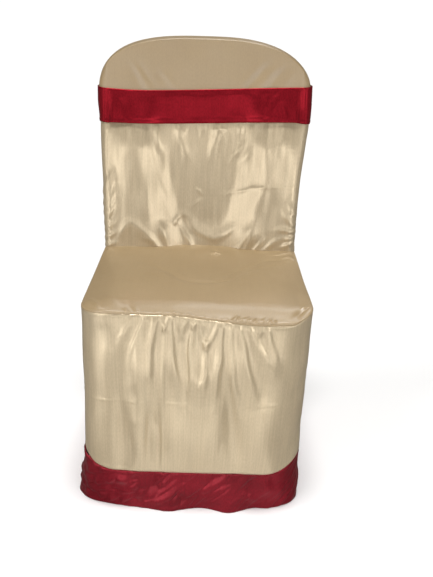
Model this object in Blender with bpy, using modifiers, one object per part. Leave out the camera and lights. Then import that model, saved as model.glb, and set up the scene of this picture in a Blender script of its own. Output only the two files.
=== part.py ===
"""Fitted cover with a sash for an armless, round-topped dining chair.

Metres, +Z up. The origin is on the floor under the middle of the cover, and the front faces -Y.
Every piece is a thin sheet of cloth in its draped shape. The cover is hollow, open at the floor,
and stands as it does on its chair, which is left out.
"""
import math
from collections import namedtuple

import bmesh
import bpy

NAME = "chair_cover_with_sash"

CLOTH = 0.0015          # thickness of every sheet
JOIN = 0.0003           # space between two pieces that are sewn edge to edge
EDGE_ROOM = 0.0010      # the same where one of them rolls over, so its edge is at a slant
CENTRE_X = 0.004        # tables measure x from the middle of the chair
CENTRE_Y = 0.267        # and y from the front of the seat, and this is where the origin lies

SEAT_SEAM = 0.432       # height of the seam between seat and skirt at the sides and rear
CREASE = 0.432          # height where the inside back meets the seat
CAP_EDGE = 0.755        # lower edge of the crown cap, under the sash
CROWN_RISE = 0.140      # top of the crown above that edge
CROWN_POWER = 2.9       # 2 would be an ellipse, more is squarer
SEAT_RISE = 0.014       # the padding lifts the seat this much above its seam
SEAT_ROLL = 0.034       # width of the rolled edge of the seat
SIDE_TUCK = 0.004       # the seat's sides run this far behind the front of the inside back
SASH_CLEAR = 0.0025     # middle of the sash outside the middle of the cloth under it
FRONT_TURN = 0.050      # the front's folds die away by this distance round the front corners
REAR_TURN = 0.030       # and the rear's by this distance round the rear corners
HEM_SWING = 0.120       # the hem's waves begin at this height

# The cover's plan at each height is a rounded rectangle. half_front and half_rear are half its
# width at the front and rear corners, shift moves it sideways, and hug brings the ends of its front
# edge forward of the middle.
Plan = namedtuple("Plan", "height shift half_front half_rear front rear round_front round_rear hug")

SKIRT_PLANS = [
    Plan(0.000, -0.009, 0.2355, 0.221, -0.001, 0.527, 0.080, 0.036, 0.000),
    Plan(0.050, -0.006, 0.2315, 0.219, -0.002, 0.524, 0.076, 0.034, 0.000),
    Plan(0.105, -0.002, 0.2245, 0.217, -0.002, 0.520, 0.070, 0.032, 0.000),
    Plan(0.200, 0.000, 0.2235, 0.216, -0.001, 0.517, 0.066, 0.030, 0.000),
    Plan(0.300, 0.001, 0.2270, 0.215, 0.000, 0.515, 0.062, 0.030, 0.000),
    Plan(0.445, 0.002, 0.2295, 0.215, 0.000, 0.515, 0.058, 0.030, 0.000),
]

BACK_PLANS = [
    Plan(0.410, 0.002, 0.2165, 0.215, 0.421, 0.515, 0.012, 0.030, 0.028),
    Plan(0.470, 0.001, 0.2175, 0.216, 0.431, 0.516, 0.013, 0.030, 0.026),
    Plan(0.580, 0.001, 0.2245, 0.223, 0.451, 0.518, 0.015, 0.028, 0.018),
    Plan(0.660, 0.003, 0.2320, 0.231, 0.465, 0.521, 0.018, 0.025, 0.010),
    Plan(0.720, 0.005, 0.2375, 0.237, 0.476, 0.523, 0.021, 0.022, 0.003),
    Plan(0.755, 0.004, 0.2405, 0.2405, 0.482, 0.524, 0.021, 0.021, 0.000),
    Plan(0.895, 0.003, 0.2415, 0.2415, 0.506, 0.548, 0.021, 0.021, 0.000),
]

# Soft folds that run up and down. at_top and at_foot are where the fold crosses the upper and lower
# edge of its piece: x on the front and rear, y on the sides. A depth above 0 stands out.
Fold = namedtuple("Fold", "at_top at_foot width depth")

SKIRT_FRONT_FOLDS = [
    Fold(-0.101, -0.128, 0.013, 0.0040),
    Fold(-0.080, -0.094, 0.009, -0.0030),
    Fold(-0.061, -0.058, 0.010, 0.0035),
    Fold(-0.040, -0.026, 0.009, -0.0035),
    Fold(-0.022, -0.004, 0.010, 0.0030),
    Fold(0.006, 0.020, 0.011, -0.0030),
    Fold(0.028, 0.034, 0.010, 0.0035),
    Fold(0.049, 0.058, 0.010, -0.0035),
    Fold(0.069, 0.100, 0.012, 0.0040),
    Fold(0.105, 0.165, 0.014, -0.0030),
]
SIDE_FOLDS = [
    Fold(0.140, 0.120, 0.045, -0.0060),
    Fold(0.260, 0.270, 0.050, 0.0055),
    Fold(0.385, 0.375, 0.040, -0.0060),
]
REAR_FOLDS = [
    Fold(-0.120, -0.140, 0.040, 0.0050),
    Fold(-0.045, -0.050, 0.032, -0.0050),
    Fold(0.030, 0.045, 0.038, 0.0055),
    Fold(0.115, 0.130, 0.036, -0.0050),
]
INSIDE_BACK_FOLDS = [
    Fold(-0.165, -0.190, 0.016, -0.0030),
    Fold(-0.130, -0.160, 0.014, 0.0040),
    Fold(-0.096, -0.104, 0.013, -0.0035),
    Fold(-0.055, -0.060, 0.014, 0.0025),
    Fold(0.000, 0.010, 0.018, -0.0025),
    Fold(0.062, 0.040, 0.014, 0.0025),
    Fold(0.105, 0.085, 0.014, -0.0035),
    Fold(0.145, 0.150, 0.016, 0.0040),
    Fold(0.185, 0.188, 0.014, -0.0030),
]

# The hem stands in and out along the floor. across is x, out is how far the hem stands forward.
Wave = namedtuple("Wave", "across width out")

HEM_WAVES = [
    Wave(-0.185, 0.055, -0.0150),
    Wave(-0.050, 0.030, 0.0100),
    Wave(0.018, 0.026, -0.0060),
    Wave(0.076, 0.026, 0.0110),
    Wave(0.135, 0.028, -0.0100),
    Wave(0.185, 0.030, -0.0090),
]

# Heights along the front, where across is x.
Level = namedtuple("Level", "across height")

SEAT_SEAM_FRONT = [
    Level(-0.225, 0.434),
    Level(-0.170, 0.441),
    Level(-0.050, 0.441),
    Level(0.040, 0.430),
    Level(0.130, 0.421),
    Level(0.165, 0.427),
    Level(0.200, 0.438),
    Level(0.230, 0.440),
]
HEM_SEAM_FRONT = [
    Level(-0.228, 0.120),
    Level(-0.195, 0.098),
    Level(-0.146, 0.091),
    Level(0.140, 0.090),
    Level(0.175, 0.094),
    Level(0.200, 0.103),
    Level(0.224, 0.120),
]
HEM_SEAM_REAR = 0.122

# The sash is a plain band round the back. It sits a little higher at its right end.
SashEdge = namedtuple("SashEdge", "across low high")

SASH_EDGES = [
    SashEdge(-0.245, 0.708, 0.784),
    SashEdge(-0.150, 0.707, 0.780),
    SashEdge(0.000, 0.711, 0.785),
    SashEdge(0.120, 0.716, 0.791),
    SashEdge(0.210, 0.718, 0.795),
    SashEdge(0.245, 0.714, 0.796),
]

# How many times each stretch of the plan is divided. A plan is walked through eight stretches,
# each one unit long: 0 rear left corner, 1 left side, 2 front left corner, 3 front, 4 front right
# corner, 5 right side, 6 rear right corner, 7 rear.
REAR_LEFT, LEFT, FRONT_LEFT, FRONT, FRONT_RIGHT, RIGHT, REAR_RIGHT, REAR = range(8)
TURN = 8
SEAM_STEP = 0.012       # part of a rear corner that the space of a seam takes

SATIN = (0.565, 0.474, 0.337)
MATT = (0.456, 0.337, 0.205)
SASH_RED = (0.270, 0.011, 0.019)
HEM_RED = (0.212, 0.014, 0.024)


def clear_scene():
    """Remove whatever the file holds."""
    for thing in list(bpy.data.objects):
        bpy.data.objects.remove(thing, do_unlink=True)


def ease(value):
    """0 to 1 with a level start and end."""
    value = min(1.0, max(0.0, value))
    return value * value * (3.0 - 2.0 * value)


def roll(value):
    """A quarter circle: 0 at 0, rising steeply, level from 1 on."""
    value = min(1.0, max(0.0, value))
    return math.sqrt(1.0 - (1.0 - value) ** 2)


def slope_between(first, second):
    """The slope of a smooth curve at a row, from the slopes before and after it. It never overshoots."""
    if first * second <= 0.0:
        return 0.0
    return 2.0 * first * second / (first + second)


def read(table, key, column, at):
    """A table's column at a value of its key column, by a smooth curve through the rows."""
    keys = [getattr(row, key) for row in table]
    values = [getattr(row, column) for row in table]
    if at <= keys[0]:
        return values[0]
    if at >= keys[-1]:
        return values[-1]
    slopes = [(values[k + 1] - values[k]) / (keys[k + 1] - keys[k]) for k in range(len(keys) - 1)]
    i = max(k for k in range(len(slopes)) if keys[k] <= at)
    span = keys[i + 1] - keys[i]
    start = span * slope_between(slopes[max(0, i - 1)], slopes[i])
    end = span * slope_between(slopes[i], slopes[min(len(slopes) - 1, i + 1)])
    t = (at - keys[i]) / span
    return (values[i] * (2 * t ** 3 - 3 * t ** 2 + 1) + start * (t ** 3 - 2 * t ** 2 + t)
            + values[i + 1] * (3 * t ** 2 - 2 * t ** 3) + end * (t ** 3 - t ** 2))


def plan_at(plans, height):
    """The plan between two rows of a table."""
    columns = [read(plans, "height", name, height) for name in Plan._fields[1:]]
    return Plan(height, *columns)


def corner(middle_x, middle_y, radius, degrees):
    """A point on a corner's arc, with its outward direction. 0 degrees is to the right, 90 the rear."""
    out = (math.cos(math.radians(degrees)), math.sin(math.radians(degrees)))
    return middle_x + radius * out[0], middle_y + radius * out[1], out


def side(start, end, part, out):
    """A point part of the way along a side, from start to end, with its outward direction."""
    return start[0] + (end[0] - start[0]) * part, start[1] + (end[1] - start[1]) * part, out


def walk(plan, position):
    """x, y and outward direction at a position on the plan, which is walked left, front, right, rear."""
    position %= TURN
    stretch = int(position)
    part = position - stretch
    left, right = plan.shift - plan.half_front, plan.shift + plan.half_front
    rear_left, rear_right = plan.shift - plan.half_rear, plan.shift + plan.half_rear
    front_y = plan.front - plan.hug + plan.round_front
    rear_y = plan.rear - plan.round_rear
    if stretch == REAR_LEFT:
        return corner(rear_left + plan.round_rear, rear_y, plan.round_rear, 90 + 90 * part)
    if stretch == LEFT:
        return side((rear_left, rear_y), (left, front_y), part, (-1.0, 0.0))
    if stretch == FRONT_LEFT:
        return corner(left + plan.round_front, front_y, plan.round_front, 180 + 90 * part)
    if stretch == FRONT:
        inner = plan.half_front - plan.round_front
        across = 2.0 * part - 1.0
        bend = plan.hug * (1.0 - across ** 2)
        return plan.shift + inner * across, plan.front - plan.hug + bend, (0.0, -1.0)
    if stretch == FRONT_RIGHT:
        return corner(right - plan.round_front, front_y, plan.round_front, 270 + 90 * part)
    if stretch == RIGHT:
        return side((right, front_y), (rear_right, rear_y), part, (1.0, 0.0))
    if stretch == REAR_RIGHT:
        return corner(rear_right - plan.round_rear, rear_y, plan.round_rear, 90 * part)
    inner = plan.half_rear - plan.round_rear
    return plan.shift + inner * (1.0 - 2.0 * part), plan.rear, (0.0, 1.0)


def folds_out(folds, at, down):
    """How far a set of folds moves the cloth outward. down is 0 at the top edge, 1 at the foot."""
    total = 0.0
    for fold in folds:
        middle = fold.at_top + (fold.at_foot - fold.at_top) * down
        total += fold.depth * math.exp(-((at - middle) / fold.width) ** 2)
    return total


def seat_seam(position):
    """Height of the seam on top of the skirt."""
    x, y, _ = walk(plan_at(SKIRT_PLANS, SEAT_SEAM), position)
    front_height = read(SEAT_SEAM_FRONT, "across", "height", x)
    return front_height + (SEAT_SEAM - front_height) * ease((y - 0.06) / 0.20)


def hem_seam(position):
    """Height of the seam on top of the hem band."""
    x, y, _ = walk(plan_at(SKIRT_PLANS, HEM_SEAM_REAR), position)
    front_height = read(HEM_SEAM_FRONT, "across", "height", x)
    return front_height + (HEM_SEAM_REAR - front_height) * ease((y - 0.06) / 0.30)


def waves_out(waves, at):
    """How far a set of waves moves the cloth outward."""
    return sum(wave.out * math.exp(-((at - wave.across) / wave.width) ** 2) for wave in waves)


def skirt_point(position, height):
    """The skirt, hem band and lower rear panel: one surface with its folds."""
    plan = plan_at(SKIRT_PLANS, height)
    x, y, out = walk(plan, position)
    top = seat_seam(position)
    down = min(1.0, max(0.0, (top - height) / top))
    at_front = 1.0 - ease((y - 0.5 * plan.round_front) / FRONT_TURN)
    at_rear = ease((y - plan.rear + plan.round_rear + REAR_TURN) / REAR_TURN)
    gathers = folds_out(SKIRT_FRONT_FOLDS, x, down) * ease(down / 0.06) * (1.0 - 0.7 * down)
    hem = waves_out(HEM_WAVES, x) * ease(1.0 - height / HEM_SWING)
    sides = folds_out(SIDE_FOLDS, y, down) * ease(down / 0.5)
    rear = folds_out(REAR_FOLDS, x, down) * (0.6 + 0.4 * down)
    away = at_front * (gathers + hem) + at_rear * rear + (1.0 - at_front - at_rear) * sides
    return x + away * out[0] - CENTRE_X, y + away * out[1] - CENTRE_Y, height


def back_point(position, height, extra=0.0):
    """The surface round the back of the chair, with extra as a distance outside it."""
    x, y, out = walk(plan_at(BACK_PLANS, height), position)
    down = (CAP_EDGE - height) / (CAP_EDGE - CREASE)
    away = extra
    stretch = int(position % TURN)
    if stretch == REAR:
        away += 0.6 * folds_out(REAR_FOLDS, x, 0.0) * ease((down - 0.1) / 0.5)
    if stretch == FRONT:
        free = ease((down - 0.16) / 0.08) * (1.0 - 0.5 * ease((down - 0.8) / 0.2))
        away += folds_out(INSIDE_BACK_FOLDS, x, down) * free
    return x + away * out[0] - CENTRE_X, y + away * out[1] - CENTRE_Y, height


def crown_point(across, up, face):
    """The crown cap on a half square: across -1 to 1, up 0 to 1, face -1 for the front, 1 for the rear."""
    reach = max(abs(across), up)
    if up > abs(across):
        angle = 0.5 * math.pi - 0.25 * math.pi * across / up
    elif reach > 0.0:
        angle = 0.25 * math.pi * up / abs(across)
        angle = angle if across > 0.0 else math.pi - angle
    else:
        angle = 0.0
    along, above = math.cos(angle), math.sin(angle)
    square = (abs(along) ** CROWN_POWER + abs(above) ** CROWN_POWER) ** (-1.0 / CROWN_POWER)
    height = CAP_EDGE + 0.5 * JOIN + CROWN_RISE * reach * square * above
    plan = plan_at(BACK_PLANS, height)
    half_depth = 0.5 * (plan.rear - plan.front)
    bulge = half_depth * roll(plan.half_front * (1.0 - reach) / half_depth)
    x = plan.shift + plan.half_front * reach * square * along
    return x - CENTRE_X, 0.5 * (plan.rear + plan.front) + face * bulge - CENTRE_Y, height


def steps(start, end, count):
    """Evenly spaced values from start to end, without the last."""
    return [start + (end - start) * k / count for k in range(count)]


def rolled(count, width, edge_count):
    """Values -1 to 1 that crowd together in a band at each end, where the cloth rolls over."""
    band = [width * (1.0 - math.cos(0.5 * math.pi * k / edge_count)) for k in range(edge_count + 1)]
    half = steps(0.0, 1.0 - width, count // 2) + [1.0 - value for value in reversed(band)]
    return [-value for value in reversed(half[1:])] + half


def mesh_grid(bm, columns, rows, point):
    """Add a grid of cloth to bm, with each vertex placed by point(column, row)."""
    made = bmesh.ops.create_grid(bm, x_segments=len(columns) - 1, y_segments=len(rows) - 1, size=1.0)
    for vertex in made["verts"]:
        i = round((vertex.co.x + 1.0) / 2.0 * (len(columns) - 1))
        j = round((vertex.co.y + 1.0) / 2.0 * (len(rows) - 1))
        vertex.co = point(columns[i], rows[j])


def finish_cloth(name, bm, material, collection):
    """Turn the sheet in bm into a named solid of cloth."""
    bmesh.ops.remove_doubles(bm, verts=bm.verts, dist=0.00002)
    bmesh.ops.recalc_face_normals(bm, faces=bm.faces)
    mesh = bpy.data.meshes.new(name)
    bm.to_mesh(mesh)
    bm.free()
    piece = bpy.data.objects.new(name, mesh)
    collection.objects.link(piece)
    mesh.materials.append(material)
    thickness = piece.modifiers.new("cloth", "SOLIDIFY")
    thickness.thickness = CLOTH
    thickness.offset = 0.0
    thickness.use_rim = True
    return piece


def cloth_material(name, colour, roughness):
    """A plain cloth finish."""
    material = bpy.data.materials.new(name)
    material.use_nodes = True
    shader = material.node_tree.nodes["Principled BSDF"]
    shader.inputs["Base Color"].default_value = (*colour, 1.0)
    shader.inputs["Roughness"].default_value = roughness
    shader.inputs["Metallic"].default_value = 0.0
    return material


def build_crown_cap(collection):
    """The matt cap over the top of the back, front and rear in one."""
    plan = plan_at(BACK_PLANS, CAP_EDGE)
    columns = rolled(12, 0.5 * (plan.rear - plan.front) / plan.half_front, 3)
    rows = columns[columns.index(0.0):]
    bm = bmesh.new()
    for face in (-1, 1):
        mesh_grid(bm, columns, rows, lambda across, up: crown_point(across, up, face))
    return finish_cloth("crown_cap", bm, cloth_material("crown_cloth", MATT, 0.62), collection)


def build_inside_back(collection):
    """The gathered satin panel that the sitter leans on."""
    columns = (steps(FRONT_LEFT + 0.06, FRONT, 3) + steps(FRONT, FRONT_RIGHT, 32)
               + steps(FRONT_RIGHT, RIGHT - 0.06, 3) + [RIGHT - 0.06])
    foot = CREASE + EDGE_ROOM + 0.5 * CLOTH + 1.5 * JOIN
    top = CAP_EDGE - 0.5 * JOIN
    rows = steps(foot, top, 10) + [top]
    bm = bmesh.new()
    mesh_grid(bm, columns, rows, back_point)
    return finish_cloth("inside_back", bm, cloth_material("back_satin", SATIN, 0.34), collection)


def build_outside_back(collection):
    """The rear panel, from the crown cap to the hem band, with a gusset up each side of the back."""
    columns = (steps(RIGHT - 0.04, REAR_RIGHT, 3) + steps(REAR_RIGHT, REAR, 4)
               + steps(REAR, TURN, 14) + steps(TURN, TURN + LEFT, 4)
               + steps(TURN + LEFT, TURN + FRONT_LEFT + 0.04, 3) + [TURN + FRONT_LEFT + 0.04])
    top = CAP_EDGE - 0.5 * JOIN
    lower = [k / 6 - 1.0 for k in range(6)]
    upper = [k / 8 for k in range(9)]

    def rear_point(position, level):
        seam = seat_seam(position) + JOIN
        if level >= 0.0:
            return back_point(position, seam + (top - seam) * level)
        hem = hem_seam(position) + 0.5 * JOIN
        return skirt_point(position, seam + (seam - hem) * level)

    bm = bmesh.new()
    mesh_grid(bm, columns, lower + upper, rear_point)
    seam_y = skirt_point(REAR_RIGHT + 0.5, 0.5 * SEAT_SEAM)[1]
    centres = [(face, face.calc_center_median()) for face in bm.faces]
    skirt_side = [face for face, centre in centres if centre.z < SEAT_SEAM and centre.y < seam_y]
    bmesh.ops.delete(bm, geom=skirt_side, context="FACES")
    return finish_cloth("outside_back", bm, cloth_material("rear_satin", SATIN, 0.36), collection)


def build_seat_panel(collection):
    """The matt seat, rolled down to its seam at the front and sides."""
    crease = plan_at(BACK_PLANS, CREASE)
    plan = plan_at(SKIRT_PLANS, SEAT_SEAM)
    depth_edge = SEAT_ROLL / crease.front
    width_edge = SEAT_ROLL / plan.half_front
    columns = rolled(14, width_edge, 3)
    rows = [(value + 1.0) / 2.0 for value in rolled(10, 2.0 * depth_edge, 3)]
    rows = [value for value in rows if value < 1.0 - depth_edge] + [1.0 - 0.4 * depth_edge, 1.0]
    rear_side = crease.front - crease.hug + SIDE_TUCK
    side_run = (plan.rear - plan.round_rear) - (plan.front + plan.round_front)
    side_stop = ((plan.rear - plan.round_rear) - rear_side) / side_run

    def edge(position):
        return skirt_point(position, seat_seam(position) + EDGE_ROOM)

    def front_edge(across):
        if abs(across) > 0.75:
            return edge(FRONT + 0.5 + math.copysign(0.5 + 2.0 * (abs(across) - 0.75), across))
        return edge(FRONT + 0.5 + across / 1.5)

    def rear_edge(across):
        bend = crease.hug * (1.0 - across ** 2)
        y = crease.front - crease.hug + bend + 0.5 * CLOTH
        end = edge(LEFT + side_stop) if across < 0 else edge(REAR_RIGHT - side_stop)
        return abs(end[0]) * across, y - CENTRE_Y, end[2]

    def side_edge(position_front, position_rear, back):
        return edge(position_front + (position_rear - position_front) * back)

    def seat_point(across, back):
        left = side_edge(FRONT_LEFT + 0.5, LEFT + side_stop, back)
        right = side_edge(FRONT_RIGHT + 0.5, REAR_RIGHT - side_stop, back)
        front, rear = front_edge(across), rear_edge(across)
        corners = (front_edge(-1.0), front_edge(1.0), rear_edge(-1.0), rear_edge(1.0))
        share = 0.5 * (across + 1.0)
        place = []
        for axis in range(3):
            straight = (1.0 - back) * front[axis] + back * rear[axis]
            straight += (1.0 - share) * left[axis] + share * right[axis]
            flat = (1.0 - back) * ((1.0 - share) * corners[0][axis] + share * corners[1][axis])
            flat += back * ((1.0 - share) * corners[2][axis] + share * corners[3][axis])
            place.append(straight - flat)
        padding = roll(back / depth_edge) * roll((1.0 - abs(across)) / width_edge)
        place[2] += SEAT_RISE * padding * (1.0 - ease((back - 0.5) / 0.5))
        return place

    bm = bmesh.new()
    mesh_grid(bm, columns, rows, seat_point)
    return finish_cloth("seat_panel", bm, cloth_material("seat_cloth", MATT, 0.60), collection)


def build_skirt(collection):
    """The satin skirt, gathered at the front and plain at the sides."""
    start = REAR_LEFT + 0.5 + SEAM_STEP
    end = REAR_RIGHT + 0.5 - SEAM_STEP
    columns = (steps(start, LEFT, 2) + steps(LEFT, FRONT_LEFT, 6) + steps(FRONT_LEFT, FRONT, 5)
               + steps(FRONT, FRONT_RIGHT, 36) + steps(FRONT_RIGHT, RIGHT, 5)
               + steps(RIGHT, REAR_RIGHT, 6) + steps(REAR_RIGHT, end, 2) + [end])
    rows = [0.0, 0.2, 0.4, 0.6, 0.78, 0.90, 0.96, 1.0]

    def point(position, level):
        low = hem_seam(position) + 0.5 * JOIN
        high = seat_seam(position)
        return skirt_point(position, low + (high - low) * level)

    bm = bmesh.new()
    mesh_grid(bm, columns, rows, point)
    return finish_cloth("skirt", bm, cloth_material("skirt_satin", SATIN, 0.34), collection)


def build_hem_band(collection):
    """The plain band round the foot of the cover."""
    columns = (steps(REAR_LEFT, LEFT, 4) + steps(LEFT, FRONT_LEFT, 6) + steps(FRONT_LEFT, FRONT, 5)
               + steps(FRONT, FRONT_RIGHT, 30) + steps(FRONT_RIGHT, RIGHT, 5)
               + steps(RIGHT, REAR_RIGHT, 6) + steps(REAR_RIGHT, REAR, 4)
               + steps(REAR, TURN, 12) + [TURN])
    rows = [0.0, 0.35, 0.7, 1.0]

    def point(position, level):
        return skirt_point(position, (hem_seam(position) - 0.5 * JOIN) * level)

    bm = bmesh.new()
    mesh_grid(bm, columns, rows, point)
    return finish_cloth("hem_band", bm, cloth_material("hem_satin", HEM_RED, 0.42), collection)


def build_sash(collection):
    """The plain band round the back, over the seam between crown cap and back panels."""
    columns = (steps(REAR_LEFT, LEFT, 4) + [LEFT] + steps(FRONT_LEFT, FRONT, 4)
               + steps(FRONT, FRONT_RIGHT, 20) + steps(FRONT_RIGHT, RIGHT, 4) + [RIGHT]
               + steps(REAR_RIGHT, REAR, 4) + steps(REAR, TURN, 12) + [TURN])
    rows = [0.0, 0.5, 1.0]

    def point(position, level):
        x = walk(plan_at(BACK_PLANS, CAP_EDGE), position)[0]
        low = read(SASH_EDGES, "across", "low", x)
        high = read(SASH_EDGES, "across", "high", x)
        height = low + (high - low) * level
        return back_point(position, height, SASH_CLEAR)

    bm = bmesh.new()
    mesh_grid(bm, columns, rows, point)
    return finish_cloth("sash", bm, cloth_material("sash_satin", SASH_RED, 0.40), collection)


def build():
    clear_scene()
    collection = bpy.data.collections.new(NAME)
    bpy.context.scene.collection.children.link(collection)
    build_crown_cap(collection)
    build_inside_back(collection)
    build_outside_back(collection)
    build_seat_panel(collection)
    build_skirt(collection)
    build_hem_band(collection)
    build_sash(collection)


build()
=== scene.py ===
"""Fitted cover with a sash for an armless, round-topped dining chair: the look of its cloth.

Metres, +Z up, in the frame's own place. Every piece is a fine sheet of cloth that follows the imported
solid of the same name and adds its gathers, folds, puckers, packing creases and seams. The tables
are in millimetres and in the maker's measures: x from the middle of the chair, y from the front of
the seat, z from the floor.
"""
import math
from collections import namedtuple

import bmesh
import bpy
import numpy as np
from mathutils import Matrix, Vector, noise


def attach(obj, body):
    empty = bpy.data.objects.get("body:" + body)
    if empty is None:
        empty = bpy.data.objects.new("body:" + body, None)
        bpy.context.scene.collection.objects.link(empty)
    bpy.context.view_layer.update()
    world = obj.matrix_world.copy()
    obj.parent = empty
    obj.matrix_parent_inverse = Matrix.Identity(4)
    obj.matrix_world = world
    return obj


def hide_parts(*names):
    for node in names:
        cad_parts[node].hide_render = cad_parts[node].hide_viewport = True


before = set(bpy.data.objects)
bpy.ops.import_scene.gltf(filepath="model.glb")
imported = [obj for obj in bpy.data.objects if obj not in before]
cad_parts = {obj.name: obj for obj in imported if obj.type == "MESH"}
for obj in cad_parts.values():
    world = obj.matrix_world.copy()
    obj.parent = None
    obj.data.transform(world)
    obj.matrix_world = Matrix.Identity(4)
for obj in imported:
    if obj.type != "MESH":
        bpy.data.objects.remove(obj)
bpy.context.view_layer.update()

CLOTH = 0.0015          # thickness of every sheet
JOIN = 0.0003           # space between two pieces that are sewn edge to edge
SEAT_JOIN = 0.0002      # the same above the skirt, where the seat rolls down to it
CENTRE_X = 0.004        # the maker's x at the frame's origin
CENTRE_Y = 0.267        # and y

SEAT_SEAM = 0.432       # height of the seam between seat and skirt at the sides and rear
CREASE = 0.432          # height where the inside back meets the seat
BACK_ROLL = 0.0035      # the inside back comes this far forward towards that crease
UNDER_SASH = 0.12       # share of the inside back's folds that is left under the sash
CAP_EDGE = 0.755        # lower edge of the crown cap, under the sash
CROWN_RISE = 0.140      # top of the crown above that edge
CROWN_POWER = 2.9       # 2 would be an ellipse, more is squarer
CROWN_SHARPER = 0.0165  # above the sash the crown turns over more sharply: its edge is this much narrower
CROWN_TURN = 0.798      # from this height on
CROWN_TURNED = 0.838    # and fully from this one
CROWN_SLOPE = 0.009     # its right shoulder slopes in this much more than its left one
CROWN_REAR_FLAT = 1.2   # the crown's rear half lies this far to the right in the cut cloth
SEAT_RISE = 0.014       # the padding lifts the seat this much above its seam
SEAT_ROLL = 0.034       # width of the rolled edge of the seat
SEAT_BANK = 0.0055      # the seat rises this much again where it meets the back
SEAT_BANK_WIDTH = 0.036
SIDE_TUCK = 0.010       # the seat's sides run this far behind the front of the inside back
SASH_CLEAR = 0.0025     # middle of the sash outside the middle of the cloth under it
FRONT_END = 0.040       # the front's folds begin to die away this far behind its middle
FRONT_TURN = 0.050      # and are gone by this distance further round the front corners
REAR_TURN = 0.030       # the rear's are gone by this distance round the rear corners
SEAMS_TURN = 0.060      # the front's slanting seams begin to level out this far behind its middle
HEM_SWING = 0.095       # the hem's waves begin at this height
HEM_SEAM_REAR = 0.122
GATHER_SWELL = 0.0060   # the gathered middle of the skirt stands out this much
PACK_ACROSS = 0.252     # height of the crease that packing left across the skirt
PACK_UPRIGHTS = (-0.178, -0.061, 0.058, 0.178)   # x of its upright creases
PACK_WIDTH = 0.0016
PACK_DEPTH = 0.0004


def rows_of(kind, *rows):
    """A table of one kind of row, every value of which is a length in millimetres."""
    return [kind(*[value / 1000 for value in row]) for row in rows]


# The cover's plan at each height is a rounded rectangle. half_front and half_rear are half its
# width at the front and rear corners, shift moves it sideways, and hug brings the ends of its front
# edge forward of the middle.
Plan = namedtuple("Plan", "height shift half_front half_rear front rear round_front round_rear hug")

SKIRT_PLANS = rows_of(
    Plan,
    (0, -9, 235.5, 221, -1, 527, 80, 36, 0),
    (50, -6, 231.5, 219, -2, 524, 76, 34, 0),
    (105, -2, 224.5, 217, -2, 520, 70, 32, 0),
    (200, 0, 223.5, 216, -1, 517, 66, 30, 0),
    (300, 1, 227, 215, 0, 515, 62, 30, 0),
    (445, 2, 229.5, 215, 0, 515, 58, 30, 0),
)

BACK_PLANS = rows_of(
    Plan,
    (410, 2, 216.5, 215, 421, 515, 12, 30, 28),
    (470, 1, 217.5, 216, 431, 516, 13, 30, 26),
    (580, 1, 224.5, 223, 451, 518, 15, 28, 18),
    (660, 3, 232, 231, 465, 521, 18, 25, 10),
    (720, 5, 237.5, 237, 476, 523, 21, 22, 3),
    (755, 4, 240.5, 240.5, 482, 524, 21, 21, 0),
    (895, 3, 241.5, 241.5, 506, 548, 21, 21, 0),
)

# Heights along the front, where across is x.
Level = namedtuple("Level", "across height")

SEAT_SEAM_FRONT = rows_of(
    Level,
    (-225, 435), (-170, 440), (-50, 439), (40, 430), (130, 423), (190, 424), (215, 433), (230, 440),
)
HEM_SEAM_FRONT = rows_of(
    Level,
    (-228, 120), (-195, 98), (-146, 91), (140, 90), (175, 94), (200, 103), (224, 120),
)

# The sash is a plain band round the back. It sits a little higher at its right end.
SashEdge = namedtuple("SashEdge", "across low high")

SASH_EDGES = rows_of(
    SashEdge,
    (-245, 708, 784), (-150, 707, 780), (0, 711, 785), (120, 716, 791), (210, 718, 795), (245, 714, 796),
)

# Broad soft folds that run the whole height of their piece. at_top and at_foot are where the fold
# crosses the upper and lower edge: x on the rear, y on the sides.
Sway = namedtuple("Sway", "at_top at_foot width depth")

SIDE_SWAYS = rows_of(
    Sway,
    (140, 120, 45, -6), (260, 270, 50, 5.5), (385, 375, 40, -6),
)
REAR_SWAYS = rows_of(
    Sway,
    (-120, -140, 40, 5), (-45, -50, 32, -5), (30, 45, 38, 5.5), (115, 130, 36, -5),
)

# The hem stands in and out along the floor. across is x, out is how far the hem stands forward.
Wave = namedtuple("Wave", "across width out")

HEM_WAVES = rows_of(
    Wave,
    (-185, 55, -15), (-50, 30, 10), (18, 26, -6), (76, 26, 11), (135, 28, -10), (185, 30, -9),
)

# Below the gathers the skirt swells forward in broad soft panels, between narrow hollows.
SKIRT_SWELLS = rows_of(
    Wave,
    (-205, 22, 5), (-108, 15, 8), (-78, 8, 5), (-34, 24, 8.5), (12, 24, 6), (42, 18, 6.5), (132, 30, 9.5),
)

# The inside back stands forward in two broad swells, left and right of a flat middle. x of the ridge
# under the sash, of the ridge at the seat, and of the swell's outer foot.
BackSwell = namedtuple("BackSwell", "at_sash at_seat foot")

BACK_SWELLS = rows_of(
    BackSwell,
    (-164, -96, -216), (174, 110, 224),
)
SWELL_RISE = 0.0138
SWELL_TURN = 0.066      # width of a swell's inner flank
SWELL_HIGH = 0.715      # heights of at_sash and at_seat
SWELL_LOW = 0.430
SWELL_UNDER = 0.40      # share of the rise that is left under the sash
RIDGE_ROUND = 0.12      # how softly a swell's two flanks meet at its ridge
FOOT_ROUND = 0.006      # and how softly they end on the flat

# A fold runs along a smooth path through a few points on its piece. It is a ridge where rise is above
# 0 and a trough below. Its half width goes from start to end. It is highest at the share peak of its
# length, and first and last are the shares of that height that it has at its two ends. lean makes one
# flank wide and the other steep.
Fold = namedtuple("Fold", "path start end rise first peak last lean", defaults=(0.0, 0.4, 0.0, 0.0))
RIDGE_SHARE = 0.65      # part of a fold's height that is its narrow ridge; the rest is its foot
FOOT_SPREAD = 2.2       # width of the foot over that of the ridge


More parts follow.
